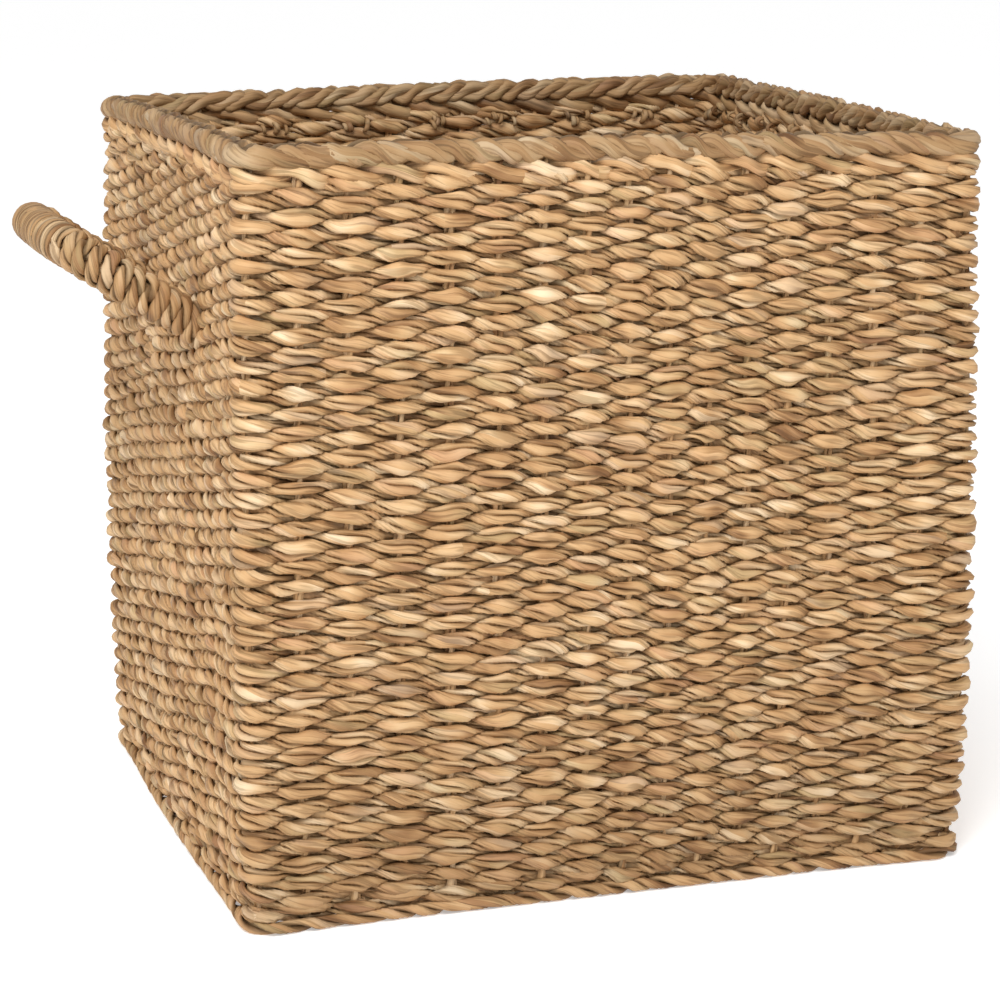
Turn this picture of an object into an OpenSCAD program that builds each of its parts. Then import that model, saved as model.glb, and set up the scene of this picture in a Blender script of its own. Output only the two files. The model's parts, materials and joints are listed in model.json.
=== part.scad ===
// Square storage basket woven from twisted seagrass cord over upright stakes,
// with a rope rim and a wrapped loop handle on each side wall.
// Millimetres, +Z up. The origin is the middle of the underside, the front faces -Y,
// and the handles stand off the left (-X) and right (+X) walls.

/* [Body] */
// Outer width, from side wall to side wall
body_w = 400; // [320:1:500]
// Outer depth, from front to back
body_d = 365; // [300:1:450]
// Overall height, with the rim
body_h = 400; // [320:1:500]
// Outside radius of the upright corners
corner_r = 20; // [20:1:32]
// Thickness of the woven walls
wall_t = 14; // [12:0.5:18]

/* [Weave] */
// Horizontal bands in the wall, each the rows laid with one length of cord
bands = 7; // [4:1:9]
// Rows of cord in each band
rows_per_band = 11; // [8:1:14]
// Gap between one band and the next
band_gap = 0.1; // [0.05:0.05:0.3]
// Depth of the groove between two rows
row_groove = 1.5; // [0.5:0.1:1.8]

/* [Stakes] */
// Thickness of a stake
stake_d = 5; // [4:0.1:6]
// Stakes in the front wall, and as many in the back wall
front_stakes = 15; // [9:1:17]
// Stakes in the left wall, and as many in the right wall
side_stakes = 14; // [8:2:16]
// Radial gap between a stake and the weave round it
stake_gap = 0.15; // [0.1:0.05:0.3]
// Gap between the two layers of stakes that cross under the basket
layer_gap = 0.3; // [0.2:0.1:1]
// Centreline radius at which the side-to-side stakes turn up into the wall
side_bend_r = 4.7; // [3.5:0.1:8]

/* [Base and rim] */
// Weave below the lower layer of stakes
base_cover = 2.5; // [1.5:0.1:5]
// Thickness of the border cord round the bottom edge
border_cord_d = 7.4; // [5:0.1:8]
// Gap between the border cord and the base
border_gap = 0.1; // [0.05:0.05:0.3]
// Height of the rolled rim
rim_h = 12; // [10:0.5:16]
// How far the stakes reach up into the rim
rim_socket = 6; // [3:0.5:7]
// Rows from the underside of the rim to the trimmed stake ends
tuck_rows = 3; // [2:1:6]
// Thickness of a trimmed stake end
tuck_d = 6; // [4:0.5:7]
// Length of a trimmed stake end
tuck_l = 14; // [10:1:18]

/* [Handles] */
// Thickness of the wrapped handle
handle_d = 21; // [17:0.2:26]
// Thickness of the handle's core rope
core_d = 9; // [7:0.1:11]
// Radial gap between the core rope and its wrapping
core_gap = 0.1; // [0.05:0.05:0.3]
// Distance from the hinge line to the middle of the grip
handle_reach = 84.5; // [70:0.5:105]
// Centreline radius of the handle's two corners
handle_bend_r = 45; // [35:1:50]
// Angle of the left handle above level, at rest
left_handle_rest = 33; // [20:1:60]
// Angle of the right handle above level, at rest
right_handle_rest = 52; // [20:1:60]
// Highest angle above level that the handle is raised to
handle_top = 65; // [60:1:68]
// Height of the rim's top above the hinge line
hinge_drop = 101; // [80:1:130]
// Stake spacings from the middle of the side wall to each foot of the handle
foot_spacings = 3; // [2:1:4]
// Thickness of the eye that ties each foot into the wall
eye_d = 6; // [5:0.1:7]
// Wall left behind the eye
eye_skin = 2.7; // [1.5:0.1:4]
// Gap round the eye and between the raised handle and the wall
handle_gap = 0.5; // [0.3:0.1:0.8]

/* [Hidden] */
$fn = 48;
straw = [0.80, 0.62, 0.40];
pale_straw = [0.87, 0.72, 0.50];
brown_straw = [0.66, 0.47, 0.28];
green_straw = [0.72, 0.66, 0.42];

// Base: two crossing layers of stakes, then the bend of the upper layer
low_run_z = base_cover + stake_d / 2;
high_run_z = low_run_z + stake_d + layer_gap;
base_t = high_run_z + side_bend_r;

// Wall rows
weave_h = body_h - base_t - rim_h;
band_step = (weave_h + band_gap) / bands;
band_h = band_step - band_gap;
row_pitch = band_h / rows_per_band;
rim_z = body_h - rim_h;

// Stake places, all on the middle line of the wall
leg_x = body_w / 2 - wall_t / 2;
leg_y = body_d / 2 - wall_t / 2;
corner_in = corner_r - (corner_r - wall_t / 2) * cos(45);
front_pitch = (body_w - 2 * corner_in) / (front_stakes + 1);
side_pitch = (body_d - 2 * corner_in) / (side_stakes + 1);
front_x = [for (i = [0:front_stakes - 1]) (i - (front_stakes - 1) / 2) * front_pitch];
side_y = [for (i = [0:side_stakes - 1]) (i - (side_stakes - 1) / 2) * side_pitch];
corner_points = [for (sx = [-1, 1], sy = [-1, 1])
    [sx * (body_w / 2 - corner_in), sy * (body_d / 2 - corner_in)]];
stake_points = concat(
    [for (x = front_x, s = [-1, 1]) [x, s * leg_y]],
    [for (y = side_y, s = [-1, 1]) [s * leg_x, y]],
    corner_points);
stake_top_z = rim_z + rim_socket;
corner_foot_z = border_cord_d + base_cover / 2;

// Trimmed stake ends: one behind every second stake, on the inside of the wall
tuck_z = rim_z - (tuck_rows - 0.5) * row_pitch;
tuck_x = [for (i = [0:2:front_stakes - 1]) front_x[i]];
tuck_y = [for (i = [0:2:side_stakes - 1]) side_y[i]];

// Handle: hinge line on the wall's outer face, feet midway between two stakes.
// Lengths along it are kept to whole hundredths, so that its stretches meet face to face.
function hundredths(v) = round(v * 100) / 100;
hinge_z = body_h - hinge_drop;
foot_y = hundredths(foot_spacings * side_pitch);
eye_r = wall_t - eye_skin - handle_gap - eye_d / 2;
handle_r = handle_d / 2;
core_r = core_d / 2;
grip_half = foot_y - handle_bend_r;
leg_end = handle_reach - handle_bend_r;
// Distance along the foot at which a round of this radius clears the wall when raised
function clear_run(r) = hundredths((r * sin(handle_top) + handle_gap) / cos(handle_top));
neck_end = clear_run(core_r);
wrap_end_r = core_r + 1.5;
wrap_start = clear_run(wrap_end_r);
wrap_full = clear_run(handle_r);

function two_digits(i) = i < 10 ? str("0", i) : str(i);
function front_stake_name(i) = str("front_to_back_stake_", two_digits(i + 1));
function side_stake_name(i) = str("side_to_side_stake_", two_digits(i + 1));
function corner_stake_name(i) = str("corner_stake_", i + 1);
function band_name(i) = str("weave_band_", i + 1);

// Sweeps a 2D section round the walls. The section's x points outwards from a line
// that lies inset inside the outer face, and its y points up.
module wall_sweep(inset) {
    side_x = body_w / 2 - corner_r;
    side_y = body_d / 2 - corner_r;
    for (turn = [0, 180])
        rotate(turn) {
            translate([body_w / 2 - inset, side_y, 0])
                rotate([90, 0, 0])
                    linear_extrude(2 * side_y)
                        children();
            translate([-side_x, body_d / 2 - inset, 0])
                rotate([90, 0, 90])
                    linear_extrude(2 * side_x)
                        children();
            translate([side_x, side_y, 0])
                rotate_extrude(angle = 90)
                    translate([corner_r - inset, 0])
                        children();
            translate([-side_x, side_y, 0])
                rotate(90)
                    rotate_extrude(angle = 90)
                        translate([corner_r - inset, 0])
                            children();
        }
}

// Solid block with the basket's outline
module footprint_block(z, h) {
    translate([0, 0, z])
        linear_extrude(h) {
            square([body_w - 2 * corner_r, body_d], center = true);
            square([body_w, body_d - 2 * corner_r], center = true);
            for (sx = [-1, 1], sy = [-1, 1])
                translate([sx * (body_w / 2 - corner_r), sy * (body_d / 2 - corner_r)])
                    circle(r = corner_r);
        }
}

// Quarter ring in the XZ plane, from straight down to straight out along +X
module quarter_bend(bend_r, r) {
    rotate([90, 0, 0])
        rotate(-90)
            rotate_extrude(angle = 90)
                translate([bend_r, 0])
                    circle(r = r);
}

// Stake that runs under the basket along X and turns up both walls
module u_stake(leg, run_z, r, top_z) {
    bend_r = base_t - run_z;
    run = leg - bend_r;
    translate([-run, 0, run_z])
        rotate([0, 90, 0])
            cylinder(r = r, h = 2 * run);
    for (side = [0, 1])
        mirror([side, 0, 0]) {
            translate([run, 0, base_t])
                quarter_bend(bend_r, r);
            translate([leg, 0, base_t])
                cylinder(r = r, h = top_z - base_t);
        }
}

module front_to_back_stake_shape(x, r, top_z) {
    translate([x, 0, 0])
        rotate(90)
            u_stake(leg_y, low_run_z, r, top_z);
}

module side_to_side_stake_shape(y, r, top_z) {
    translate([0, y, 0])
        u_stake(leg_x, high_run_z, r, top_z);
}

module corner_stake_shape(p, foot_z, r, top_z) {
    translate([p[0], p[1], foot_z])
        cylinder(r = r, h = top_z - foot_z);
}

// Stake nodes
module front_to_back_stake(i) {
    color(brown_straw)
        front_to_back_stake_shape(front_x[i], stake_d / 2, stake_top_z);
}

module side_to_side_stake(i) {
    color(brown_straw)
        side_to_side_stake_shape(side_y[i], stake_d / 2, stake_top_z);
}

module corner_stake(i) {
    color(brown_straw)
        corner_stake_shape(corner_points[i], corner_foot_z, stake_d / 2, stake_top_z);
}

// Woven base with a channel for every stake and a notch for the border cord
module base_mat() {
    channel_r = stake_d / 2 + stake_gap;
    notch = border_cord_d / 2 + 2;
    color(straw)
        difference() {
            footprint_block(0, base_t);
            for (x = front_x)
                front_to_back_stake_shape(x, channel_r, base_t + 1);
            for (y = side_y)
                side_to_side_stake_shape(y, channel_r, base_t + 1);
            for (p = corner_points)
                corner_stake_shape(p, corner_foot_z - stake_gap, channel_r, base_t + 1);
            wall_sweep(border_cord_d / 2)
                translate([0, border_cord_d / 2])
                    circle(d = border_cord_d + 2 * border_gap);
            wall_sweep(notch)
                translate([0, -1])
                    square([notch + 1, notch + 1]);
        }
}

// Twisted cord that finishes the bottom edge
module base_border_cord() {
    color(pale_straw)
        wall_sweep(border_cord_d / 2)
            translate([0, border_cord_d / 2])
                circle(d = border_cord_d);
}

// Section of one band: a flat web with the round back of each row on both faces
module band_section() {
    web = wall_t - 2 * row_groove;
    translate([-web / 2, 0])
        square([web, band_h]);
    for (k = [0:rows_per_band - 1], side = [-1, 1])
        translate([side * (wall_t - row_pitch) / 2, (k + 0.5) * row_pitch])
            circle(d = row_pitch);
}

// Round channels that hold the four handle eyes
module eye_channels() {
    for (side = [-1, 1], foot = [-1, 1])
        translate([side * body_w / 2, foot * foot_y, hinge_z])
            rotate([90, 0, 0])
                rotate_extrude()
                    translate([eye_r, 0])
                        circle(d = eye_d + 2 * handle_gap);
}

// Rows of woven cord, with a hole for every stake
module weave_band(i) {
    z = base_t + i * band_step;
    eye_reach = eye_r + eye_d / 2 + handle_gap;
    holds_eyes = hinge_z + eye_reach > z && hinge_z - eye_reach < z + band_h;
    color(i % 2 == 0 ? straw : pale_straw)
        difference() {
            translate([0, 0, z])
                wall_sweep(wall_t / 2)
                    band_section();
            for (p = stake_points)
                translate([p[0], p[1], z - 1])
                    cylinder(d = stake_d + 2 * stake_gap, h = band_h + 2);
            if (holds_eyes)
                eye_channels();
        }
}

// Rolled rope rim with a blind socket for every stake
module rim_roll() {
    shoulder = rim_h - wall_t / 2;
    color(pale_straw)
        difference() {
            translate([0, 0, rim_z])
                wall_sweep(wall_t / 2) {
                    translate([-wall_t / 2, 0])
                        square([wall_t, shoulder]);
                    translate([0, shoulder])
                        intersection() {
                            circle(d = wall_t);
                            translate([-wall_t, 0])
                                square([2 * wall_t, wall_t]);
                        }
                }
            for (p = stake_points)
                translate([p[0], p[1], rim_z - 1])
                    cylinder(d = stake_d + 2 * stake_gap, h = rim_socket + stake_gap + 1);
        }
}

// Trimmed end lying along Y against a wall whose inside faces +X
module tuck() {
    half = tuck_l / 2 - tuck_d / 2;
    difference() {
        union() {
            translate([0, -half, 0])
                rotate([-90, 0, 0])
                    cylinder(d = tuck_d, h = 2 * half);
            for (s = [-1, 1])
                translate([0, s * half, 0])
                    sphere(d = tuck_d);
        }
        translate([-tuck_d, -tuck_l, -tuck_d])
            cube([tuck_d, 2 * tuck_l, 2 * tuck_d]);
    }
}

// Stake ends turned down and trimmed on the inside, below the rim
module stake_end_tucks() {
    color(green_straw)
        for (turn = [0, 180])
            rotate(turn) {
                for (y = tuck_y)
                    translate([wall_t - body_w / 2, y, tuck_z])
                        tuck();
                for (x = tuck_x)
                    translate([x, wall_t - body_d / 2, tuck_z])
                        rotate(90)
                            tuck();
            }
}

// Puts a handle drawn flat, reaching along +X from its hinge line, in its rest place
module place_handle(side) {
    mirror([side < 0 ? 1 : 0, 0, 0])
        translate([body_w / 2, 0, hinge_z])
            rotate([0, side < 0 ? -left_handle_rest : -right_handle_rest, 0])
                children();
}

// Round rod along the handle's centreline, from run out along one foot to the other
module handle_rod(r, run) {
    for (foot = [-1, 1]) {
        translate([run, foot * foot_y, 0])
            rotate([0, 90, 0])
                cylinder(r = r, h = leg_end - run);
        translate([leg_end, foot * grip_half, 0])
            rotate(foot > 0 ? 0 : -90)
                rotate_extrude(angle = 90)
                    translate([handle_bend_r, 0])
                        circle(r = r);
    }
    translate([handle_reach, -grip_half, 0])
        rotate([-90, 0, 0])
            cylinder(r = r, h = 2 * grip_half);
}

// Core rope with an eye at each foot. The eye loops round the wall's rows and turns in them.
module handle_core(side) {
    color(brown_straw)
        place_handle(side) {
            handle_rod(core_r, neck_end);
            for (foot = [-1, 1])
                translate([0, foot * foot_y, 0]) {
                    rotate([90, 0, 0])
                        rotate_extrude()
                            translate([eye_r, 0])
                                circle(d = eye_d);
                    translate([eye_r, 0, 0])
                        rotate([0, 90, 0])
                            cylinder(r1 = eye_d / 2 - 0.2, r2 = core_r, h = neck_end - eye_r);
                }
        }
}

// Cord wrapping round the core, tapered at the feet so that the raised handle clears the wall
module handle_wrap(side) {
    color(pale_straw)
        place_handle(side)
            difference() {
                union() {
                    handle_rod(handle_r, wrap_full);
                    for (foot = [-1, 1])
                        translate([wrap_start, foot * foot_y, 0])
                            rotate([0, 90, 0])
                                cylinder(r1 = wrap_end_r, r2 = handle_r, h = wrap_full - wrap_start);
                }
                handle_rod(core_r + core_gap, wrap_start - 1);
            }
}

base_mat();
base_border_cord();
for (i = [0:bands - 1])
    weave_band(i);
rim_roll();
stake_end_tucks();
for (i = [0:front_stakes - 1])
    front_to_back_stake(i);
for (i = [0:side_stakes - 1])
    side_to_side_stake(i);
for (i = [0:3])
    corner_stake(i);
handle_core(-1);  // left_handle_core
handle_wrap(-1);  // left_handle_wrap
handle_core(1);  // right_handle_core
handle_wrap(1);  // right_handle_wrap
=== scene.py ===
# %% [markdown]
# # A woven seagrass storage basket
# The basket is a tall square box of twisted seagrass cord, woven over upright stakes, with a
# braided rim and a wrapped loop handle on each side wall. The design was made as solids first:
# they hold the sizes, the hinges and the collision. Here each plain solid is replaced by the
# real thing, cord by cord, in exactly the same place.

# %% Load the frame
import json
import math
import bpy
import numpy as np
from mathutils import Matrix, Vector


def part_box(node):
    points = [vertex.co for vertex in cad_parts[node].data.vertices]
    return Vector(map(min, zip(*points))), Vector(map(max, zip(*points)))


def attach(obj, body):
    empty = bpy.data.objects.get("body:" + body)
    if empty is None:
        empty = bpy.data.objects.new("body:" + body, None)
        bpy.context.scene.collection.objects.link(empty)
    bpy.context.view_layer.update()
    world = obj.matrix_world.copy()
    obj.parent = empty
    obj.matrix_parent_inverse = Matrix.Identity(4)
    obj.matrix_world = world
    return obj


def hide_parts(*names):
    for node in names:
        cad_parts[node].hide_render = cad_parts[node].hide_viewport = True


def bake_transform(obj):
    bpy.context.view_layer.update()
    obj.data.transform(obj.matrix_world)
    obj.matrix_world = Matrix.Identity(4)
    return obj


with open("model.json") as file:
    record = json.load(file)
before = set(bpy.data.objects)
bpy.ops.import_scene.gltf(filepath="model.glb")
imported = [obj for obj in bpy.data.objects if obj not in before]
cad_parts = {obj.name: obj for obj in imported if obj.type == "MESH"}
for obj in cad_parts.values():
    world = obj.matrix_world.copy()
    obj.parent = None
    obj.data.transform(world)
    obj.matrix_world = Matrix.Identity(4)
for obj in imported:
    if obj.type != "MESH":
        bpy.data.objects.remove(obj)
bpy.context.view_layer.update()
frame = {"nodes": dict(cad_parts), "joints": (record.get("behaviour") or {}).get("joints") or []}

# %% [markdown]
# ## Sizes
# Every place comes from the frame. The wall's middle line carries the stakes, and the cords
# weave in and out of it, so it is the line that everything on the walls is measured from.

# %% Sizes from the frame
MM = 0.001
TAU = 2 * math.pi
bands = [n for n in sorted(frame["nodes"]) if n.startswith("weave_band_")]
front_stakes = [n for n in sorted(frame["nodes"]) if n.startswith("front_to_back_stake_")]
side_stakes = [n for n in sorted(frame["nodes"]) if n.startswith("side_to_side_stake_")]
corner_stakes = [n for n in sorted(frame["nodes"]) if n.startswith("corner_stake_")]

wall_low, wall_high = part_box(bands[0])
HALF_W = wall_high.x
HALF_D = wall_high.y
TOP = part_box("rim_roll")[1].z
RIM_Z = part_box("rim_roll")[0].z
BASE_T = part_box("base_mat")[1].z
STAKE_R = (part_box(corner_stakes[0])[1].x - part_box(corner_stakes[0])[0].x) / 2
LEG_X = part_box(side_stakes[0])[1].x - STAKE_R
LEG_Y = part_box(front_stakes[0])[1].y - STAKE_R
HALF_WALL = HALF_W - LEG_X
CORNER_R = 20 * MM - HALF_WALL
ROWS = 11
ROW_PITCH = (wall_high.z - wall_low.z) / ROWS


def middle(node):
    """Centre of a CAD node's box."""
    low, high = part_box(node)
    return (low + high) / 2


print(f"walls {2 * HALF_W:.3f} x {2 * HALF_D:.3f} m, rows every {ROW_PITCH / MM:.2f} mm")

# %% [markdown]
# ## The camera
# A long lens from the front left, a little above the rim, looks at the middle of the basket.

# %% Camera
LENS, SENSOR = 104.56, 36.0
AIM = (-7.8 * MM, 0.0, 177.8 * MM)
AZIMUTH, ELEVATION, DISTANCE = math.radians(-17.793), math.radians(12.649), 1.6753

camera_data = bpy.data.cameras.new("camera")
camera_data.lens = LENS
camera_data.sensor_width = SENSOR
camera = bpy.data.objects.new("camera", camera_data)
bpy.context.collection.objects.link(camera)
camera.location = (
    AIM[0] + DISTANCE * math.sin(AZIMUTH) * math.cos(ELEVATION),
    AIM[1] - DISTANCE * math.cos(AZIMUTH) * math.cos(ELEVATION),
    AIM[2] + DISTANCE * math.sin(ELEVATION),
)
camera.rotation_euler = (math.pi / 2 - ELEVATION, 0, AZIMUTH)
bpy.context.scene.camera = camera
print("camera at", [round(v, 3) for v in camera.location])

# %% [markdown]
# ## Shader maths
# A material is a small graph of nodes. This class wraps one socket, so that an expression such
# as `1 - mask * 0.5` adds the Math nodes for it.

# %% A socket that does arithmetic
class Val:
    """One socket of a material, with arithmetic on it."""

    def __init__(self, material, socket=None):
        self.material = material
        self.socket = socket

    def node(self, kind, output=0, settings=None, **sockets):
        """Adds a node. Settings are set first, then each socket gets a value or a link."""
        made = self.material.node_tree.nodes.new(kind)
        for name, value in (settings or {}).items():
            if name == "stops":
                ramp = made.color_ramp
                while len(ramp.elements) < len(value):
                    ramp.elements.new(0.5)
                for element, (place, colour) in zip(ramp.elements, value):
                    element.position = place
                    element.color = (*colour, 1)
            else:
                setattr(made, name, value)
        for name, value in sockets.items():
            key = int(name[1:]) if name[1:].isdigit() else name.replace("_", " ")
            target = made.inputs[key]
            if isinstance(value, Val):
                self.material.node_tree.links.new(value.socket, target)
            else:
                target.default_value = value
        return Val(self.material, None if output is None else made.outputs[output])

    def math(self, operation, first, second):
        return self.node("ShaderNodeMath", 0, {"operation": operation}, i0=first, i1=second)

    def __add__(self, other):
        return self.math("ADD", self, other)

    def __radd__(self, other):
        return self.math("ADD", other, self)

    def __sub__(self, other):
        return self.math("SUBTRACT", self, other)

    def __rsub__(self, other):
        return self.math("SUBTRACT", other, self)

    def __mul__(self, other):
        return self.math("MULTIPLY", self, other)

    def __rmul__(self, other):
        return self.math("MULTIPLY", other, self)

    def __pow__(self, other):
        return self.math("POWER", self, other)

    def clamp(self):
        return self.node("ShaderNodeClamp", i0=self)

    def mix(self, first, second, blend="MIX"):
        """Mixes two colours, with this value as the factor."""
        settings = {"data_type": "RGBA", "blend_type": blend}
        return self.node("ShaderNodeMix", 2, settings, i0=self, i6=first, i7=second)


# %% [markdown]
# ## Dry seagrass
# Seagrass dries to straw colours that change from leaf to leaf: gold, tan, a pinkish brown, a
# dull green and a pale cream. Fine veins run along each leaf, so the pattern is drawn in the
# strand's own UV map, where u is the distance along the strand and v the distance round it.
# Painted shade darkens the inner side of a strand, where it presses on its neighbour, and whatever lies
# deep between the cords.

# %% Seagrass material
STRAW_STOPS = (
    (0.22, (0.230, 0.108, 0.040)),
    (0.36, (0.430, 0.238, 0.102)),
    (0.46, (0.570, 0.342, 0.160)),
    (0.54, (0.615, 0.385, 0.188)),
    (0.64, (0.710, 0.485, 0.268)),
    (0.78, (0.830, 0.635, 0.415)),
)
DULL_GREEN = (0.450, 0.365, 0.180, 1)
PINK_BROWN = (0.600, 0.330, 0.175, 1)
PALE_CREAM = (0.860, 0.720, 0.520, 1)
DRY_SHEEN = 0.28


def seagrass(name, shade=1.0, leaf=26.0, roughness=0.62, bump=0.55):
    """Dry seagrass strand. shade scales the colour, and leaf is how often it changes, per metre."""
    material = bpy.data.materials.new(name)
    material.use_nodes = True
    material.node_tree.nodes.clear()
    start = Val(material)
    uv = start.node("ShaderNodeUVMap", settings={"uv_map": "strand"})

    def noise(along, across, detail, shift):
        """Noise in the strand's own map, with so many patches a metre along and across."""
        spot = uv.node("ShaderNodeMapping", i0=uv, i1=(shift, shift, 0), i3=(along, across, 1))
        flat = {"noise_dimensions": "2D"}
        return spot.node("ShaderNodeTexNoise", settings=flat, i0=spot, i2=1.0, i3=detail)

    leaves = noise(leaf, 22, 2.0, 0.0)
    veins = noise(28, 1500, 3.0, 3.1)
    folds = noise(40, 480, 2.0, 7.7)
    hue = noise(leaf * 0.7, 40, 1.0, 11.3)
    pale = noise(leaf * 0.45, 25, 1.0, 19.1)

    # The ramp is read round its middle: leaf by leaf first, then vein by vein
    tone = leaves * 0.95 + veins * 0.15 + folds * 0.10 - 0.11
    straw = tone.node("ShaderNodeValToRGB", settings={"stops": STRAW_STOPS}, i0=tone)
    green = (hue * 5 - 2.95).clamp() * 0.38
    pink = ((0.41 - hue) * 4).clamp() * 0.6
    cream = ((pale - 0.60) * 6).clamp() * 0.32
    colour = green.mix(straw, DULL_GREEN)
    colour = pink.mix(colour, PINK_BROWN)
    colour = cream.mix(colour, PALE_CREAM)
    # Painted shade, read from a mark on the mesh: it darkens creases and the parts that lie deep between
    # the cords
    inside = start.node("ShaderNodeAttribute", 2, {"attribute_name": "inside"})
    # Fine dark lines where a fold runs along the leaf
    crease = 1 - ((folds - 0.36) * 9).clamp()
    light = (1 - crease * 0.30) * (1 - inside ** 1.5 * 0.66) * shade
    tint = light.node("ShaderNodeCombineColor", i0=light, i1=light ** 1.06, i2=light ** 1.16)
    multiply = {"data_type": "RGBA", "blend_type": "MULTIPLY"}
    colour = start.node("ShaderNodeMix", 2, multiply, i0=1.0, i6=colour, i7=tint)
    height = veins * 0.35 + folds * 0.65
    normal = height.node("ShaderNodeBump", Strength=bump, Distance=0.0012, Height=height)
    rough = (roughness + (veins - 0.5) * 0.25).clamp()
    shader = start.node("ShaderNodeBsdfPrincipled", Base_Color=colour, Roughness=rough, Normal=normal)
    shader.socket.node.inputs["Specular IOR Level"].default_value = DRY_SHEEN
    start.node("ShaderNodeOutputMaterial", None, Surface=shader)
    return material


WEAVE_LOOK = seagrass("seagrass_weave", shade=0.96)
RIM_LOOK = seagrass("seagrass_rim", shade=0.60, leaf=20.0)
BORDER_LOOK = seagrass("seagrass_border", shade=0.85, leaf=20.0)
STAKE_LOOK = seagrass("seagrass_stake", shade=0.88, leaf=14.0)
CORE_LOOK = seagrass("seagrass_core", shade=0.75, leaf=14.0)
HANDLE_LOOK = seagrass("seagrass_handle", shade=0.75, leaf=26.0, bump=0.45)
TUCK_LOOK = seagrass("seagrass_cut_end", shade=0.60, leaf=60.0)
print("made", len(bpy.data.materials), "materials")

# %% [markdown]
# ## Strands
# Every cord is two or more strands, and a strand is a long bundle of leaves. A strand is swept
# as a tube: a lens-shaped ring of points at each step of its path. This is worked out with
# arrays, because a woven wall has over a hundred metres of it, and no modifier follows a weave.
# All strands of a piece go into one mesh, with a UV map in metres and a mark of painted shade for the inner
# side.

# %% Ring shape and mesh builder
RING = np.radians([0, 52, 108, 180, 252, 308])


def ring_shape(angles=RING):
    """Angles round a strand, with more points on the outer side, which is the one that shows."""
    return np.cos(angles), np.sin(angles)


def strand_rings(centre, out, up, place, size, turn, angles=RING):
    """Rings of a strand that lies at turn round its cord.

    centre (n, 3) is the cord's line, out and up its two cross directions. size (n, 2) is the
    cord's half thickness along them. place is how far from the centre the strand sits, and its
    own half thickness and half width are fractions of the cord's.
    """
    away, depth, width = place
    c, s = ring_shape(angles)
    radial = away + depth * c[None, :]
    across = width * s[None, :]
    cos_t, sin_t = np.cos(turn)[:, None], np.sin(turn)[:, None]
    a = (radial * cos_t - across * sin_t) * size[:, :1]
    b = (radial * sin_t + across * cos_t) * size[:, 1:]
    return centre[:, None, :] + a[:, :, None] * out[:, None, :] + b[:, :, None] * up[:, None, :]


def length_along(line, closed):
    """Distance along a line, with one more entry than points where it is closed."""
    nxt = np.roll(line, -1, axis=0) if closed else line[1:]
    step = np.linalg.norm(nxt - (line if closed else line[:-1]), axis=1)
    return np.concatenate([[0], np.cumsum(step)])


def piece_from_strands(name, strands, look):
    """One mesh object from a list of strands: (rings (n, k, 3), closed, seed, inner marks).

    Marks of painted shade are one for each point of a ring, or for each point of each ring.
    """
    points, faces, uvs, marks = [], [], [], []
    total = 0
    for rings, closed, seed, inner in strands:
        n, k, _ = rings.shape
        if inner.ndim == 1:
            inner = np.tile(inner, (n, 1))
        if closed:
            # The seams of closed strands are scattered round the basket
            rings = np.roll(rings, int(seed * n) % n, axis=0)
            inner = np.roll(inner, int(seed * n) % n, axis=0)
        along = length_along(rings.mean(axis=1), closed) + seed * 1.7
        ring_len = np.linalg.norm(rings[0] - np.roll(rings[0], -1, axis=0), axis=1).sum()
        v = np.linspace(0, ring_len, k + 1) + seed * 0.37
        i = np.arange(n if closed else n - 1)
        j = np.arange(k)
        ii, jj = np.meshgrid(i, j, indexing="ij")
        i2, j2 = (ii + 1) % n, (jj + 1) % k
        quad = np.stack([ii * k + jj, ii * k + j2, i2 * k + j2, i2 * k + jj], axis=-1).reshape(-1, 4)
        uv = np.stack(
            [
                np.stack([along[ii], v[jj]], -1),
                np.stack([along[ii], v[jj + 1]], -1),
                np.stack([along[ii + 1], v[jj + 1]], -1),
                np.stack([along[ii + 1], v[jj]], -1),
            ],
            axis=-2,
        ).reshape(-1, 4, 2)
        flat = rings.reshape(-1, 3)
        # Faces are turned round where they would look inwards
        a, b, c, d = (flat[quad[:, q]] for q in range(4))
        normal = np.cross(b - a, c - a) + np.cross(c - a, d - a)
        volume = np.einsum("ij,ij->i", a - flat.mean(axis=0), normal).sum()
        if volume < 0:
            quad, uv = quad[:, ::-1], uv[:, ::-1]
        points.append(flat)
        faces.append(quad + total)
        uvs.append(uv)
        marks.append(inner.reshape(-1))
        total += len(flat)
        if not closed:
            for end, sign in ((0, 1), (n - 1, -1)):
                ring = np.arange(k) + end * k + total - len(flat)
                cap = ring if (sign > 0) == (volume < 0) else ring[::-1]
                faces.append(("cap", cap, along[end if end == 0 else -1], v[0]))
    return build_mesh(name, np.concatenate(points), faces, uvs, np.concatenate(marks), look)


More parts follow.
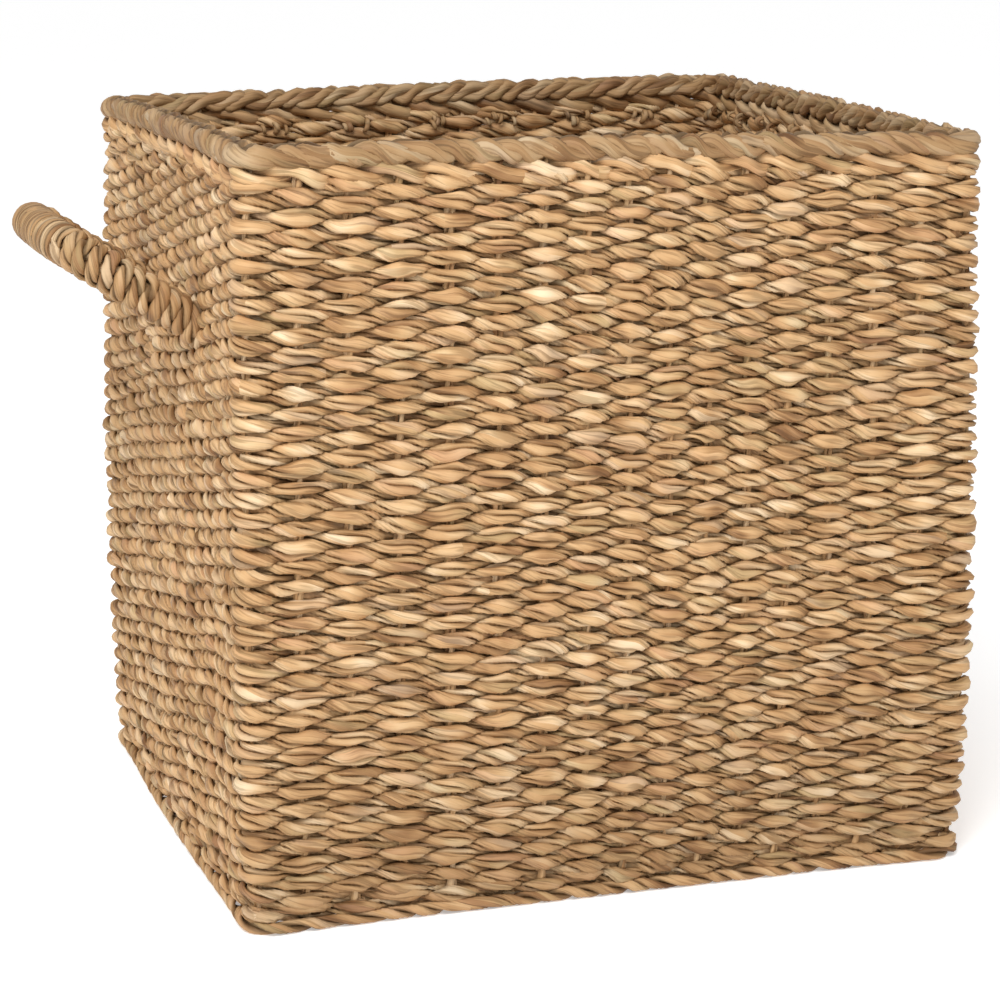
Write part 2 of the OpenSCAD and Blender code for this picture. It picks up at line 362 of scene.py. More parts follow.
def build_mesh(name, points, faces, uvs, marks, look):
    """Writes points, quads and end caps into a mesh, smooth shaded."""
    loops, starts, uv_rows = [], [], []
    count = 0
    grids = iter(uvs)
    for face in faces:
        if isinstance(face, tuple):
            _, cap, u, v = face
            loops.append(cap)
            starts.append(np.array([count]))
            uv_rows.append(np.tile([u, v], (len(cap), 1)))
            count += len(cap)
        else:
            loops.append(face.reshape(-1))
            starts.append(count + 4 * np.arange(len(face)))
            uv_rows.append(next(grids).reshape(-1, 2))
            count += 4 * len(face)
    starts = np.concatenate(starts)
    mesh = bpy.data.meshes.new(name)
    mesh.vertices.add(len(points))
    mesh.vertices.foreach_set("co", points.astype(np.float32).reshape(-1))
    mesh.loops.add(count)
    mesh.loops.foreach_set("vertex_index", np.concatenate(loops).astype(np.int32))
    mesh.polygons.add(len(starts))
    mesh.polygons.foreach_set("loop_start", starts.astype(np.int32))
    mesh.update(calc_edges=True)
    layer = mesh.uv_layers.new(name="strand")
    layer.data.foreach_set("uv", np.concatenate(uv_rows).astype(np.float32).reshape(-1))
    mark = mesh.attributes.new("inside", "FLOAT", "POINT")
    mark.data.foreach_set("value", marks.astype(np.float32))
    mesh.polygons.foreach_set("use_smooth", np.ones(len(starts), bool))
    mesh.validate()
    mesh.materials.append(look)
    piece = bpy.data.objects.new(name, mesh)
    bpy.context.collection.objects.link(piece)
    triangles = sum(len(p.vertices) - 2 for p in mesh.polygons)
    print(f"{name}: {triangles} triangles")
    return piece


# %% [markdown]
# ## Round the wall
# A line round the wall is a rectangle with round corners. `around` gives a point on it, the
# way out of the wall there, and the way along. Stakes stand on it about 23 mm apart, and a
# second scale counts in stakes, because a cord changes sides between one stake and the next.

# %% The wall's middle line
SIDE_X = LEG_X - CORNER_R
SIDE_Y = LEG_Y - CORNER_R
ARC = CORNER_R * math.pi / 2
# Straight and arc lengths in turn, starting at the left end of the front wall
STRETCHES = np.array([2 * SIDE_X, ARC, 2 * SIDE_Y, ARC] * 2)
ENDS = np.concatenate([[0], np.cumsum(STRETCHES)])
PERIMETER = ENDS[-1]
CORNERS = [(SIDE_X, -SIDE_Y), (SIDE_X, SIDE_Y), (-SIDE_X, SIDE_Y), (-SIDE_X, -SIDE_Y)]


def around(s):
    """Points (n, 2) and outward directions (n, 2) at distances s along the middle line."""
    s = np.mod(np.asarray(s, float), PERIMETER)
    point = np.zeros((len(s), 2))
    out = np.zeros((len(s), 2))
    for side in range(4):
        corner = np.array(CORNERS[side])
        previous = np.array(CORNERS[side - 1])
        way = (corner - previous) / np.linalg.norm(corner - previous)
        normal = np.array([way[1], -way[0]])
        a, b, c = ENDS[2 * side], ENDS[2 * side + 1], ENDS[2 * side + 2]
        on = (s >= a) & (s < b)
        point[on] = previous + normal * CORNER_R + way * (s[on] - a)[:, None]
        out[on] = normal
        on = (s >= b) & (s < c) if side < 3 else s >= b
        angle = (s[on] - b) / CORNER_R
        turned = np.outer(np.cos(angle), normal) + np.outer(np.sin(angle), way)
        point[on] = corner + CORNER_R * turned
        out[on] = turned
    return point, out


def distance_round(x, y):
    """Distance along the middle line of the point on it nearest to (x, y)."""
    s = np.arange(0, PERIMETER, 0.2 * MM)
    point, _ = around(s)
    return s[np.argmin((point[:, 0] - x) ** 2 + (point[:, 1] - y) ** 2)]


def stake_distances():
    """Distance along the middle line of every stake, in order."""
    found = []
    for node in front_stakes:
        found += [distance_round(middle(node).x, -LEG_Y), distance_round(middle(node).x, LEG_Y)]
    for node in side_stakes:
        found += [distance_round(-LEG_X, middle(node).y), distance_round(LEG_X, middle(node).y)]
    for node in corner_stakes:
        found.append(distance_round(middle(node).x, middle(node).y))
    return np.sort(np.array(found))


STAKE_S = stake_distances()
STAKES = len(STAKE_S)


def at_count(count):
    """Position along the middle line of a count in stakes."""
    places = np.concatenate([STAKE_S, [STAKE_S[0] + PERIMETER]])
    return np.interp(np.mod(count, STAKES), np.arange(STAKES + 1), places)


print(f"{STAKES} stakes round {PERIMETER:.3f} m")

# %% [markdown]
# ## How the basket settles
# A hand-woven basket is never quite true. The walls swell a little below the middle, the side
# walls bow out at the foot, the rim dips at two corners, the rows wave, and the wall is pulled in
# above the handles. One smooth function moves every point of the basket's own pieces, so that
# what touches stays together.

# %% Settling
SWELL = 4.6 * MM
HEM = 0.6 * MM
HEM_FADE = 9 * MM
CORNER_PUSH = 6.0 * MM
BELLY = 1.6 * MM
DENT = 6.0 * MM
DENT_HEIGHT, DENT_LENGTH = 45 * MM, 80 * MM
SADDLE = 2.4 * MM
CORNER_DROP = 1.6 * MM
FOOT_BOW, FOOT_BOW_HEIGHT = 6.0 * MM, 110 * MM
WAVE = 0.9 * MM
RISE = 0.008
SHIFT, SHIFT_LENGTH, SHIFT_START = 7 * MM, 360 * MM, -140 * MM
HINGE_Z = frame["joints"][0]["pos_m"][2]
RIPPLES = [
    ((52, 33, 17), 1.0, 0.4),
    ((-31, 47, 38), 0.8, 2.1),
    ((95, -71, 22), 0.5, 4.0),
    ((-12, 24, 75), 0.7, 5.2),
]


def settle(points):
    """Moves points (..., 3) from the true design to the settled basket."""
    shape = points.shape
    x, y, z = points.reshape(-1, 3).T.copy()
    h = np.clip(z / TOP, 0, 1)
    bx, by = x / HALF_W, y / HALF_D
    corner = (np.abs(bx) * np.abs(by)) ** 6
    grow = SWELL * np.sin(math.pi * h ** 0.75) - HEM * np.exp(-np.clip(z, 0, None) / HEM_FADE)
    push = CORNER_PUSH * corner
    belly = BELLY * np.sin(math.pi * h) * (1 - bx ** 2).clip(0)
    dent = DENT * np.exp(-(((z - HINGE_Z - 15 * MM) / DENT_HEIGHT) ** 2) - (y / DENT_LENGTH) ** 2)
    bow = FOOT_BOW * np.exp(-((z / FOOT_BOW_HEIGHT) ** 2)) * (1 - by ** 2).clip(0)
    shift = SHIFT * np.sin(TAU * (x - SHIFT_START) / SHIFT_LENGTH) * (1 - bx ** 4).clip(0)
    ripple = sum(w * np.sin(x * k[0] + y * k[1] + z * k[2] + f) for k, w, f in RIPPLES)
    fade = np.sqrt(np.sin(math.pi * h).clip(0))
    nx = x + grow * bx + push * np.sign(bx) + (bow - dent) * bx ** 3 + shift * np.clip(-by, 0, 1) ** 6
    ny = y + grow * by + push * np.sign(by) + belly * by ** 3
    nz = z * (1 + RISE) + WAVE * ripple * fade + (SADDLE * bx * by - CORNER_DROP * np.abs(bx * by)) * h ** 2
    return np.stack([nx, ny, nz], axis=-1).reshape(shape)


# %% [markdown]
# ## The woven wall
# The wall is plain weave. Each row's cord passes outside one stake and inside the next, and the
# row above does the opposite. The cord is two strands twisted together. Where it passes over a
# stake it has room, and stands a whole cord high. Where it changes sides all the rows share the
# height, so it is squeezed flat. That swelling and squeezing gives the wall its brickwork look.
# The cord turns slowly over a stake and fast between stakes, so each float shows one or two long leaves.
# Points near the wall's middle line get painted shade, which darkens the creases, and the foot of the front
# wall gets a little painted shade, darker towards the floor.

# %% One row of the weave
STEPS = 11
CORD_OUT = 2.7 * MM
FLOAT_HEIGHT = 4.15 * MM
FLOAT_DEPTH = 3.6 * MM
CROSS_HEIGHT = 2.75 * MM
CROSS_DEPTH = 3.3 * MM
# Powers that flatten the top of a float and pinch its two ends
FLAT_TOP, PINCH = 0.6, 1.3
# Share by which the twist slows over a stake, and by which the side walls' floats stand less far out
DWELL = 0.55
SIDE_CALM = 0.2
# Unevenness of hand work: height of the row, its thickness, its twist, and one strand's thickness
ROW_DRIFT, ROW_SWELL, TWIST_DRIFT, PLY_SWELL = 0.35 * MM, 0.10, 0.6, 0.14
TWIST_SPREAD = 0.10
# Painted shade in the creases: on a strand's inner side and where it presses on its neighbour
INSIDE_CREASE, NEIGHBOUR_CREASE = 0.75, 0.8
# Painted shade at the foot of the front wall, fading out over this height
FOOT_SHADE, FOOT_SHADE_HEIGHT = 0.62, 150 * MM
# Distances from the wall's middle line over which the painted crease shade fades out
CREASE, CROWN = 0.3 * MM, 3.6 * MM
TWIST = 46 * MM
LENS_PLACE = (0.44, 0.56, 0.95)
# Painted shade round a strand's ring, darkest on the side that presses on its neighbour
INNER_MARKS = np.array([0.0, 0.05, 0.45, 1.0, 0.45, 0.05])
chance = np.random.default_rng(4)


def smooth_chance(count, knots, size):
    """A smooth closed random curve with count samples, about size high."""
    phase = chance.uniform(0, TAU, knots)
    height = chance.normal(0, size, knots) / math.sqrt(knots)
    t = np.arange(count) / count * TAU
    return sum(h * np.sin((k + 1) * t * 3 + p) for k, (h, p) in enumerate(zip(height, phase)))


def wall_row(z, parity, out_shift=0.0, steps=STEPS):
    """The two strands of one row at height z. parity says which stakes it passes outside."""
    n = STAKES * steps
    count = np.arange(n) / steps
    s = at_count(count)
    point, out = around(s)
    over = np.cos(math.pi * (count + parity))
    room = np.abs(over) ** PINCH
    lift = smooth_chance(n, 9, ROW_DRIFT)
    swell = 1 + smooth_chance(n, 24, ROW_SWELL)
    calm = 1 - SIDE_CALM * out[:, 0] ** 2
    offset = CORD_OUT * calm * np.sign(over) * np.abs(over) ** FLAT_TOP + out_shift
    offset = offset + smooth_chance(n, 16, ROW_DRIFT)
    height = (CROSS_HEIGHT + (FLOAT_HEIGHT - CROSS_HEIGHT) * room) * swell
    depth = CROSS_DEPTH + (FLOAT_DEPTH - CROSS_DEPTH) * room
    centre = np.concatenate([point + out * offset[:, None], (z + lift)[:, None]], axis=1)
    out3 = np.concatenate([out, np.zeros((n, 1))], axis=1)
    up3 = np.tile([0.0, 0.0, 1.0], (n, 1))
    turns = round(PERIMETER / (TWIST * chance.uniform(1 - TWIST_SPREAD, 1 + TWIST_SPREAD)))
    turn = TAU * turns * s / PERIMETER + chance.uniform(0, TAU) + smooth_chance(n, 12, TWIST_DRIFT)
    turn = turn - DWELL * 0.5 * np.sin(TAU * count)
    size = np.stack([depth, height], axis=1)
    strands = []
    for ply in (0, math.pi):
        fat = 1 + smooth_chance(n, 40, PLY_SWELL)
        rings = strand_rings(centre, out3, up3, LENS_PLACE, size * fat[:, None], -(turn + ply))
        out_by = np.einsum("nkj,nj->nk", rings[..., :2] - point[:, None, :], out)
        # Painted shade, darkest close to the wall's middle line, where the creases lie
        buried = 1 - ((np.abs(out_by) - CREASE) / (CROWN - CREASE)).clip(0, 1)
        buried *= np.where(out_by < 0, INSIDE_CREASE, 1.0)
        # Painted shade at the foot of the front wall, darker towards the floor
        foot = FOOT_SHADE * max(0, 1 - z / FOOT_SHADE_HEIGHT) * (-out[:, 1]).clip(0)
        pressed = INNER_MARKS[None, :] * NEIGHBOUR_CREASE
        marks = np.maximum(np.maximum(buried, pressed), foot[:, None])
        strands.append((settle(rings), True, chance.uniform(0, 40), marks))
    return strands


# %% [markdown]
# The last row under the rim is a twined one. Its two strands go one outside and one inside of
# each stake, and change places between the stakes, which locks the top of the weave.

# %% The twined row under the rim
TWINE_OUT = 3.9 * MM
TWINE_UP = 3.3 * MM
TWINE_DEPTH = 2.9 * MM
TWINE_HEIGHT = 3.7 * MM
ROUND_RING = np.radians([0, 50, 100, 180, 260, 310])


def twined_row(z):
    """Two strands that swap sides between one stake and the next, at height z."""
    n = STAKES * STEPS
    count = np.arange(n) / STEPS
    point, out = around(at_count(count))
    out3 = np.concatenate([out, np.zeros((n, 1))], axis=1)
    up3 = np.tile([0.0, 0.0, 1.0], (n, 1))
    strands = []
    for strand in (0, 1):
        phase = math.pi * (count + strand) + smooth_chance(n, 20, 0.25)
        aside = TWINE_OUT * np.cos(phase)
        rise = -TWINE_UP * np.sin(phase)
        centre = np.concatenate([point + out * aside[:, None], (z + rise)[:, None]], axis=1)
        fat = 1 + smooth_chance(n, 40, 0.12)
        size = np.stack([TWINE_DEPTH * fat, TWINE_HEIGHT * fat], axis=1)
        rings = strand_rings(centre, out3, up3, (0.0, 1.0, 1.0), size, np.zeros(n), ROUND_RING)
        strands.append((settle(rings), True, chance.uniform(0, 40), INNER_MARKS * 0.7))
    return strands


# %% The seven bands of the wall
row = 0
for node in bands:
    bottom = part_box(node)[0].z
    strands = []
    for k in range(ROWS):
        z = bottom + (k + 0.5) * ROW_PITCH
        top_row = row == ROWS * len(bands) - 1
        strands += twined_row(z - 0.3 * MM) if top_row else wall_row(z, row % 2)
        row += 1
    band = piece_from_strands(f"{node}_cords", strands, WEAVE_LOOK)
    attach(band, "basket")
    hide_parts(node)

# %% [markdown]
# ## Stakes
# A stake is a loose bundle of leaves. It shows only in the small gaps between the cords, as a
# few upright fibres. Each one runs down a wall, under the base and up the wall across from it.

# %% Paths of the stakes
STAKE_STEP = 14 * MM
BEND_STEPS = 5
STAKE_TWIST = 90 * MM
# The leaves of a stake spread a little past the solid that stands for them
STAKE_SPREAD = 1.25
BUNDLE_PLACE = (0.5, 0.5, 0.62)
# Painted shade, the same all over a bundle
BUNDLE_MARK = 0.25
CORNER_STEPS = 28


def u_path(leg, run_z, top):
    """Points (n, 2), along and up, of a stake that turns up at both ends."""
    bend = BASE_T - run_z
    run = leg - bend
    half = [(x, run_z) for x in np.arange(0, run, STAKE_STEP)]
    for k in range(BEND_STEPS + 1):
        a = math.pi / 2 * k / BEND_STEPS
        half.append((run + bend * math.sin(a), BASE_T - bend * math.cos(a)))
    rise = np.linspace(BASE_T, top, int((top - BASE_T) / STAKE_STEP) + 2)[1:]
    half += [(leg, z) for z in rise]
    return np.array([(-a, z) for a, z in half[:0:-1]] + half)


def bundle(line, flat, radius, twist, plies=3, angles=np.radians([0, 72, 144, 216, 288])):
    """Loose strands round a line. flat is one direction across it."""
    way = np.gradient(line, axis=0)
    way /= np.linalg.norm(way, axis=1)[:, None]
    first = np.tile(np.array(flat, float), (len(line), 1))
    second = np.cross(way, first)
    second /= np.linalg.norm(second, axis=1)[:, None]
    along = length_along(line, False)
    size = np.full((len(line), 2), radius)
    strands = []
    for ply in range(plies):
        turn = TAU * along / twist + ply * TAU / plies + chance.uniform(0, 1)
        rings = strand_rings(line, first, second, BUNDLE_PLACE, size, turn, angles)
        strands.append((rings, False, chance.uniform(0, 40), np.full(len(angles), BUNDLE_MARK)))
    return strands


def settled(strands):
    """The same strands after the basket has settled."""
    return [(settle(rings), closed, seed, inner) for rings, closed, seed, inner in strands]


def stake_piece(node, line, flat):
    """Puts a bundle of leaves in place of a CAD stake."""
    strands = settled(bundle(line, flat, STAKE_R * STAKE_SPREAD, STAKE_TWIST))
    piece = piece_from_strands(f"{node}_leaves", strands, STAKE_LOOK)
    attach(piece, "basket")
    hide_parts(node)


# %% Front-to-back, side-to-side and corner stakes
for node in front_stakes:
    low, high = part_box(node)
    path = u_path(LEG_Y, low.z + STAKE_R, high.z)
    line = np.stack([np.full(len(path), middle(node).x), path[:, 0], path[:, 1]], 1)
    stake_piece(node, line, (1, 0, 0))
for node in side_stakes:
    low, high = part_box(node)
    path = u_path(LEG_X, low.z + STAKE_R, high.z)
    line = np.stack([path[:, 0], np.full(len(path), middle(node).y), path[:, 1]], 1)
    stake_piece(node, line, (0, 1, 0))
for node in corner_stakes:
    low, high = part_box(node)
    rise = np.linspace(low.z, high.z, CORNER_STEPS)
    spot = middle(node)
    line = np.stack([np.full(CORNER_STEPS, spot.x), np.full(CORNER_STEPS, spot.y), rise], 1)
    stake_piece(node, line, (1, 0, 0))

# %% [markdown]
# ## The braided rim
# The top edge is finished as a braid. Three thick cords cross over one another, and each is a
# pair of strands that lie side by side. On the outside the strands slant down to the right.
# On the inside they make one bump for each stake.

# %% Rim
RIM_STEPS = 10
RIM_STRANDS = 6
BRAID_LENGTH = 3
BRAID_OUT = 4.2 * MM
BRAID_UP = 3.0 * MM
BRAID_DEPTH = 2.7 * MM
BRAID_WIDTH = 4.1 * MM
BRAID_RISE = 0.3 * MM
BRAID_LEAN = 0.9
RIM_RING = np.radians([0, 45, 90, 135, 180, 225, 270, 315])
# Painted shade round a flat strand's ring, darkest on its inner side
RIM_MARKS = np.array([0.0, 0.0, 0.35, 0.9, 1.0, 0.9, 0.35, 0.0])


def face_rings(centre, facing, up, size, angles=RIM_RING):
    """Rings of a flat strand whose broad side faces along facing."""
    return strand_rings(centre, facing, up, (0.0, 1.0, 1.0), size, np.zeros(len(centre)), angles)


def rim_strands():
    """Six strands, braided in pairs round the top edge."""
    n = STAKES * RIM_STEPS
    s = at_count(np.arange(n) / RIM_STEPS)
    point, out = around(s)
    out3 = np.concatenate([out, np.zeros((n, 1))], axis=1)
    up3 = np.tile([0.0, 0.0, 1.0], (n, 1))
    level = (RIM_Z + TOP) / 2 + BRAID_RISE
    turns = round(STAKES / BRAID_LENGTH)
    strands = []
    for strand in range(RIM_STRANDS):
        phase = TAU * (turns * s / PERIMETER + strand / RIM_STRANDS) + smooth_chance(n, 20, 0.30)
        aside = BRAID_OUT * np.sin(phase)
        rise = BRAID_UP * np.sin(2 * phase) + smooth_chance(n, 30, 0.4 * MM)
        centre = np.concatenate([point + out * aside[:, None], (level + rise)[:, None]], axis=1)
        lean = BRAID_LEAN * np.cos(phase)
        facing = out3 * np.sin(phase)[:, None] + up3 * lean[:, None]
        facing /= np.linalg.norm(facing, axis=1)[:, None]
        along = np.stack([-out[:, 1], out[:, 0], np.zeros(n)], axis=1)
        across = np.cross(facing, along)
        fat = 1 + smooth_chance(n, 40, 0.10)
        size = np.stack([BRAID_DEPTH * fat, BRAID_WIDTH * fat], axis=1)
        rings = face_rings(centre, facing, across, size)
        strands.append((settle(rings), True, chance.uniform(0, 40), RIM_MARKS))
    return strands


rim = piece_from_strands("rim_braid", rim_strands(), RIM_LOOK)
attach(rim, "basket")
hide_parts("rim_roll")

# %% [markdown]
# ## The base
# The base is woven flat, like the walls, with cords that cross the front-to-back stakes. Two
# rows run round its edge, below the first row of the wall, and a thicker cord finishes the
# bottom edge.

# %% Base mat and border cord
BASE_ROW = 6.1 * MM
BASE_STEPS = 7
BASE_SWING, BASE_DEPTH = 3.6 * MM, 3.6 * MM
# Half width of a base row, as shares of the spacing, where rows cross and at the middle of a float
BASE_CROSS_WIDTH, BASE_FLOAT_WIDTH = 0.62, 0.95
EDGE_ROW_HEIGHTS = (9.6 * MM, 13.4 * MM)
EDGE_ROW_IN = 0.3 * MM
BORDER_TWIST = 34 * MM
BORDER_PLACE = (0.46, 0.50, 0.80)


def base_rows():
    """Flat rows that run from side to side and weave up and down past the stakes."""
    inner_x = LEG_X - 0.5 * MM
    inner_y = LEG_Y - 1 * MM
    rows = int(2 * inner_y / BASE_ROW)
    pitch = 2 * inner_y / rows
    spacing = middle(front_stakes[1]).x - middle(front_stakes[0]).x
    n = int(2 * inner_x / spacing * BASE_STEPS)
    x = np.linspace(-inner_x, inner_x, n)
    strands = []
    for k in range(rows):
        y = -inner_y + (k + 0.5) * pitch
        over = np.cos(math.pi * (x / spacing + k))
        room = over ** 2
        z = BASE_T / 2 + BASE_SWING * over
        line = np.stack([x, np.full(n, y) + smooth_chance(n, 7, 0.3 * MM), z], axis=1)
        wide = pitch * (BASE_CROSS_WIDTH + (BASE_FLOAT_WIDTH - BASE_CROSS_WIDTH) * room)
        deep = np.full(n, BASE_DEPTH)
        twist = TWIST * chance.uniform(1 - TWIST_SPREAD, 1 + TWIST_SPREAD)
        turn = TAU * x / twist + chance.uniform(0, TAU)
        across = np.tile([0.0, 1.0, 0.0], (n, 1))
        up = np.tile([0.0, 0.0, 1.0], (n, 1))
        size = np.stack([wide, deep], axis=1)
        for ply in (0, math.pi):
            rings = strand_rings(line, across, up, LENS_PLACE, size, turn + ply)
            strands.append((settle(rings), False, chance.uniform(0, 40), INNER_MARKS))
    return strands


def edge_rows():
    """Two rows round the edge of the base, between the border cord and the wall."""
    strands = []
    for k, z in enumerate(EDGE_ROW_HEIGHTS):
        strands += wall_row(z, (k + 1) % 2, out_shift=-EDGE_ROW_IN, steps=9)
    return strands


base = piece_from_strands("base_mat_cords", base_rows() + edge_rows(), WEAVE_LOOK)
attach(base, "basket")
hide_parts("base_mat")


def border_strands():
    """The twisted cord round the bottom edge."""
    low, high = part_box("base_border_cord")
    radius = (high.z - low.z) / 2
    n = STAKES * RIM_STEPS
    s = at_count(np.arange(n) / RIM_STEPS)
    point, out = around(s)
    centre2 = point + out * (HALF_WALL - radius)
    out3 = np.concatenate([out, np.zeros((n, 1))], axis=1)
    up3 = np.tile([0.0, 0.0, 1.0], (n, 1))
    centre = np.concatenate([centre2, np.full((n, 1), low.z + radius)], axis=1)
    turns = round(PERIMETER / BORDER_TWIST)
    strands = []
    for ply in (0, math.pi):
        fat = radius * (1.02 + smooth_chance(n, 40, 0.06))
        turn = TAU * turns * s / PERIMETER + ply + smooth_chance(n, 12, 0.6)
        size = np.stack([fat, fat], axis=1)
        rings = strand_rings(centre, out3, up3, BORDER_PLACE, size, -turn, RIM_RING)
        rings = settle(rings)
        rings[..., 2] = rings[..., 2].clip(low.z)
        strands.append((rings, True, chance.uniform(0, 40), RIM_MARKS))
    return strands


border = piece_from_strands("base_border_twist", border_strands(), BORDER_LOOK)
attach(border, "basket")
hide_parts("base_border_cord")

# %% [markdown]
# ## Trimmed stake ends
# Below the rim, on the inside, the ends of the stakes are turned down behind a row and cut
# short. Each one is a small curl of leaves that stands a few millimetres off the wall.

# %% Stake ends
tuck_low, tuck_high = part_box("stake_end_tucks")
TUCK_Z = (tuck_low.z + tuck_high.z) / 2


def curl(spot, inwards, along, reach, radius):
    """A short strand that comes out of the wall, bends and ends in a cut."""
    t = np.linspace(0, 1, 8)
    bend = math.pi * chance.uniform(0.75, 1.1) * t
    side = chance.uniform(-1, 1) * 0.8
    line = (
        spot
        + inwards * (reach * np.sin(bend))[:, None]
        + along * (side * reach * t)[:, None]
        + np.array([0, 0, -1.0]) * (reach * 1.3 * (1 - np.cos(bend)) * 0.5)[:, None]
    )
    size = np.full((8, 2), radius)
    size[-1] *= 0.75
    across = np.tile(along, (8, 1))
    way = np.gradient(line, axis=0)
    way /= np.linalg.norm(way, axis=1)[:, None]
    second = np.cross(way, across)
    second /= np.linalg.norm(second, axis=1)[:, None]
    flat = np.cross(second, way)
    angles = np.radians(np.arange(0, 360, 60))
    ring = strand_rings(line, flat, second, (0.0, 1.0, 0.8), size, np.zeros(8), angles)
    return (settle(ring), False, chance.uniform(0, 40), np.full(6, 0.2))


def tuck_strands():
    """A cluster of curls at every second stake."""
    strands = []
    for count in range(0, STAKES, 2):
        for _ in range(4):
            s = at_count(np.array([count + chance.uniform(-0.42, 0.42)]))
            point, out = around(s)
            out3 = np.array([out[0][0], out[0][1], 0.0])
            along = np.array([-out3[1], out3[0], 0.0])
            face = point[0] - out[0] * (HALF_WALL - 1.5 * MM)
            spot = np.array([*face, TUCK_Z + chance.uniform(1, 5) * MM])
            reach = chance.uniform(2.5, 4.6) * MM
            radius = chance.uniform(1.1, 1.9) * MM
            strands.append(curl(spot, -out3, along, reach, radius))
    return strands


tucks = piece_from_strands("stake_end_curls", tuck_strands(), TUCK_LOOK)
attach(tucks, "basket")
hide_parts("stake_end_tucks")

# %% [markdown]
# ## Handles
# A handle is a rope bent into a loop, with its ends tied round the rows of the wall. A two-ply cord is
# wound round it, loose and bulging near the wall and flat and tight round the grip.

# %% Handle path
HANDLE_R = 10.5 * MM
wrap_low, wrap_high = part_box("left_handle_wrap")
REACH = math.hypot(-wrap_low.x - HANDLE_R - HALF_W, wrap_high.z - HANDLE_R - HINGE_Z)
CORE_R = 6.5 * MM
HANDLE_BEND = 45 * MM
FOOT_Y = wrap_high.y - HANDLE_R
ROOT = -4 * MM
SEAT = 4 * MM


def handle_path(step):
    """Centreline of the handle, flat: distance out from the hinge line, and place along Y."""
    leg = REACH - HANDLE_BEND
    grip = FOOT_Y - HANDLE_BEND
    first = [(u, FOOT_Y) for u in np.arange(ROOT, leg, step)]
    bend = [
        (leg + HANDLE_BEND * math.sin(a), grip + HANDLE_BEND * math.cos(a))
        for a in np.arange(0, math.pi / 2, step / HANDLE_BEND)
    ]
    across = [(REACH, y) for y in np.arange(grip, 0, -step)]
    half = np.array(first + bend + across)
    return np.concatenate([half, [[REACH, 0]], half[::-1] * [1, -1]])


def resample(line, count):
    """count points evenly along a line."""
    along = length_along(line, False)
    t = np.linspace(0, along[-1], count)
    return np.stack([np.interp(t, along, line[:, k]) for k in range(line.shape[1])], axis=1), t


def rest_angle(side):
    """The angle above level that the left (-1) or right (1) handle stands at."""
    low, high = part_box("left_handle_wrap" if side < 0 else "right_handle_wrap")
    out = max(-low.x, high.x) - HANDLE_R - HALF_W
    return math.atan2(high.z - HANDLE_R - HINGE_Z, out)


def handle_place(flat, side):
    """Turns (out, along, lift) into the frame, at rest, on the left or right wall."""
    u, y, w = flat[..., 0], flat[..., 1], flat[..., 2]
    rest = rest_angle(side)
    x = HALF_W - SEAT + u * math.cos(rest) - w * math.sin(rest)
    z = HINGE_Z + u * math.sin(rest) + w * math.cos(rest)
    return np.stack([side * x, y, z], axis=-1)


# %% Core rope and wrapping
COIL_STEPS = 24
LOOSE_PITCH, TIGHT_PITCH = 7.2 * MM, 4.4 * MM
TIGHT_START, TIGHT_FADE = 82 * MM, 14 * MM
HANDLE_TWIST = 21 * MM
LOOSE_DEPTH, TIGHT_DEPTH = 3.2 * MM, 1.1 * MM
HANDLE_FULLNESS = 0.8 * MM
COIL_PLACE = (0.44, 0.52, 0.84)
CORE_TWIST, CORE_STEPS = 40 * MM, 90
# Radius at which a coil's own length is measured, for its twist
COIL_RADIUS = 8.2 * MM


def core_strands(side):
    """Three strands laid up into the rope under the wrapping."""
    line, _ = resample(handle_path(2 * MM), CORE_STEPS)
    line = np.concatenate([line, np.zeros((CORE_STEPS, 1))], axis=1)
    strands = bundle(line, (0, 0, 1), CORE_R, CORE_TWIST, angles=np.radians(np.arange(0, 360, 60)))
    return [(handle_place(r, side), closed, seed, inner) for r, closed, seed, inner in strands]


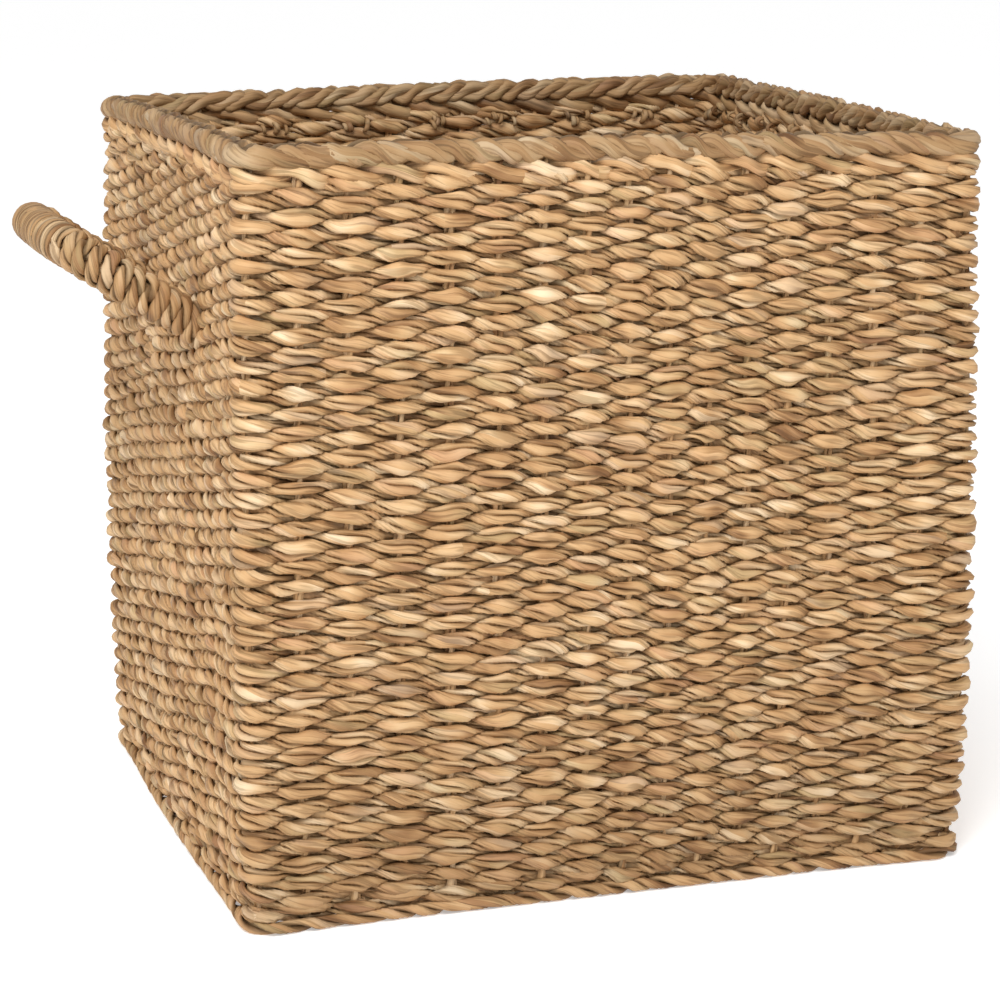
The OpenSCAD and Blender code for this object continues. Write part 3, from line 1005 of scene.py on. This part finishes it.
def wrap_strands(side):
    """Two strands of cord wound round the core, all along the handle."""
    fine, along = resample(handle_path(1 * MM), 1200)
    total = along[-1]
    near_foot = np.minimum(along, total - along)
    tight = np.clip((near_foot - TIGHT_START) / TIGHT_FADE, 0, 1)
    tight = tight * tight * (3 - 2 * tight)
    pitch = LOOSE_PITCH + (TIGHT_PITCH - LOOSE_PITCH) * tight
    coils = np.concatenate([[0], np.cumsum(np.diff(along) / ((pitch[1:] + pitch[:-1]) / 2))])
    n = int(coils[-1] * COIL_STEPS)
    t = np.interp(np.linspace(0, coils[-1], n), coils, along)
    coil = np.linspace(0, coils[-1], n)
    tight = np.interp(t, along, tight)
    pitch = np.interp(t, along, pitch)
    spot = np.stack([np.interp(t, along, fine[:, k]) for k in (0, 1)], axis=1)
    way = np.stack([np.gradient(fine[:, k], along) for k in (0, 1)], axis=1)
    way = np.stack([np.interp(t, along, way[:, k]) for k in (0, 1)], axis=1)
    way /= np.linalg.norm(way, axis=1)[:, None]
    way3 = np.concatenate([way, np.zeros((n, 1))], axis=1)
    aside = np.stack([way[:, 1], -way[:, 0], np.zeros(n)], axis=1)
    lift = np.tile([0.0, 0.0, 1.0], (n, 1))
    depth = LOOSE_DEPTH - (LOOSE_DEPTH - TIGHT_DEPTH) * tight
    wide = pitch * (0.58 + 0.12 * tight)
    radius = HANDLE_R + HANDLE_FULLNESS - depth * 0.92
    angle = TAU * coil
    ray = aside * np.cos(angle)[:, None] + lift * np.sin(angle)[:, None]
    centre = np.concatenate([spot, np.zeros((n, 1))], axis=1) + ray * radius[:, None]
    centre += way3 * smooth_chance(n, 60, 0.5 * MM)[:, None]
    run = np.concatenate([[0], np.cumsum(1 - tight[1:])]) * (coil[1] - coil[0]) * TAU * COIL_RADIUS
    strands = []
    for ply in (0, math.pi):
        fat = 1 + smooth_chance(n, 90, 0.12)
        size = np.stack([depth * fat, wide * fat], axis=1)
        turn = TAU * run / HANDLE_TWIST + ply + smooth_chance(n, 30, 0.5)
        # Where the winding is tight, the two strands lie flat, side by side
        side_by_side = np.round((turn - math.pi / 2) / math.pi) * math.pi + math.pi / 2
        turn = turn + (side_by_side - turn) * tight
        rings = strand_rings(centre, ray, way3, COIL_PLACE, size, turn, RIM_RING)
        strands.append((handle_place(rings, side), False, chance.uniform(0, 40), RIM_MARKS))
    return strands


for label, side in (("left", -1), ("right", 1)):
    core = piece_from_strands(f"{label}_handle_rope", core_strands(side), CORE_LOOK)
    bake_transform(core)
    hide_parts(f"{label}_handle_core")
    wrap = piece_from_strands(f"{label}_handle_coils", wrap_strands(side), HANDLE_LOOK)
    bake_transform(wrap)
    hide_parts(f"{label}_handle_wrap")

# %% [markdown]
# ## Floor and light
# The basket stands on a plain white floor that glows a little, as a lit studio sweep does. A
# soft light from the front left and above does most of the work. A much weaker one lights the
# foot of the left wall, and the pale surroundings fill the rest.

# %% Floor
bpy.ops.object.select_all(action="DESELECT")
bpy.ops.mesh.primitive_plane_add(size=40, location=(0, 0, 0))
floor = bpy.context.active_object
floor.name = "floor"
floor_look = bpy.data.materials.new("pale_floor")
floor_look.use_nodes = True
floor_shader = floor_look.node_tree.nodes["Principled BSDF"]
floor_shader.inputs["Base Color"].default_value = (0.90, 0.90, 0.90, 1)
floor_shader.inputs["Roughness"].default_value = 0.9
floor_shader.inputs["Emission Color"].default_value = (1, 1, 1, 1)
floor_shader.inputs["Emission Strength"].default_value = 0.34
floor.data.materials.append(floor_look)


# %% Lights
def soft_light(name, place, aim, size, power):
    """A square soft light at place, turned to face aim."""
    data = bpy.data.lights.new(name, "AREA")
    data.size = size
    data.energy = power
    light = bpy.data.objects.new(name, data)
    bpy.context.collection.objects.link(light)
    light.location = place
    away = np.array(place) - np.array(aim)
    light.rotation_euler = (
        math.acos(away[2] / np.linalg.norm(away)),
        0,
        math.atan2(away[0], -away[1]),
    )
    return light


soft_light("key_light", (-0.85, -1.35, 1.75), (0, 0, 0.25), 0.9, 36)
soft_light("side_light", (-2.4, -0.2, 0.5), (0, 0, 0.1), 1.2, 2)
world = bpy.data.worlds.new("surroundings")
world.use_nodes = True
world.node_tree.nodes["Background"].inputs["Color"].default_value = (1, 1, 1, 1)
world.node_tree.nodes["Background"].inputs["Strength"].default_value = 0.72
bpy.context.scene.world = world
bpy.context.scene.view_settings.view_transform = "Standard"
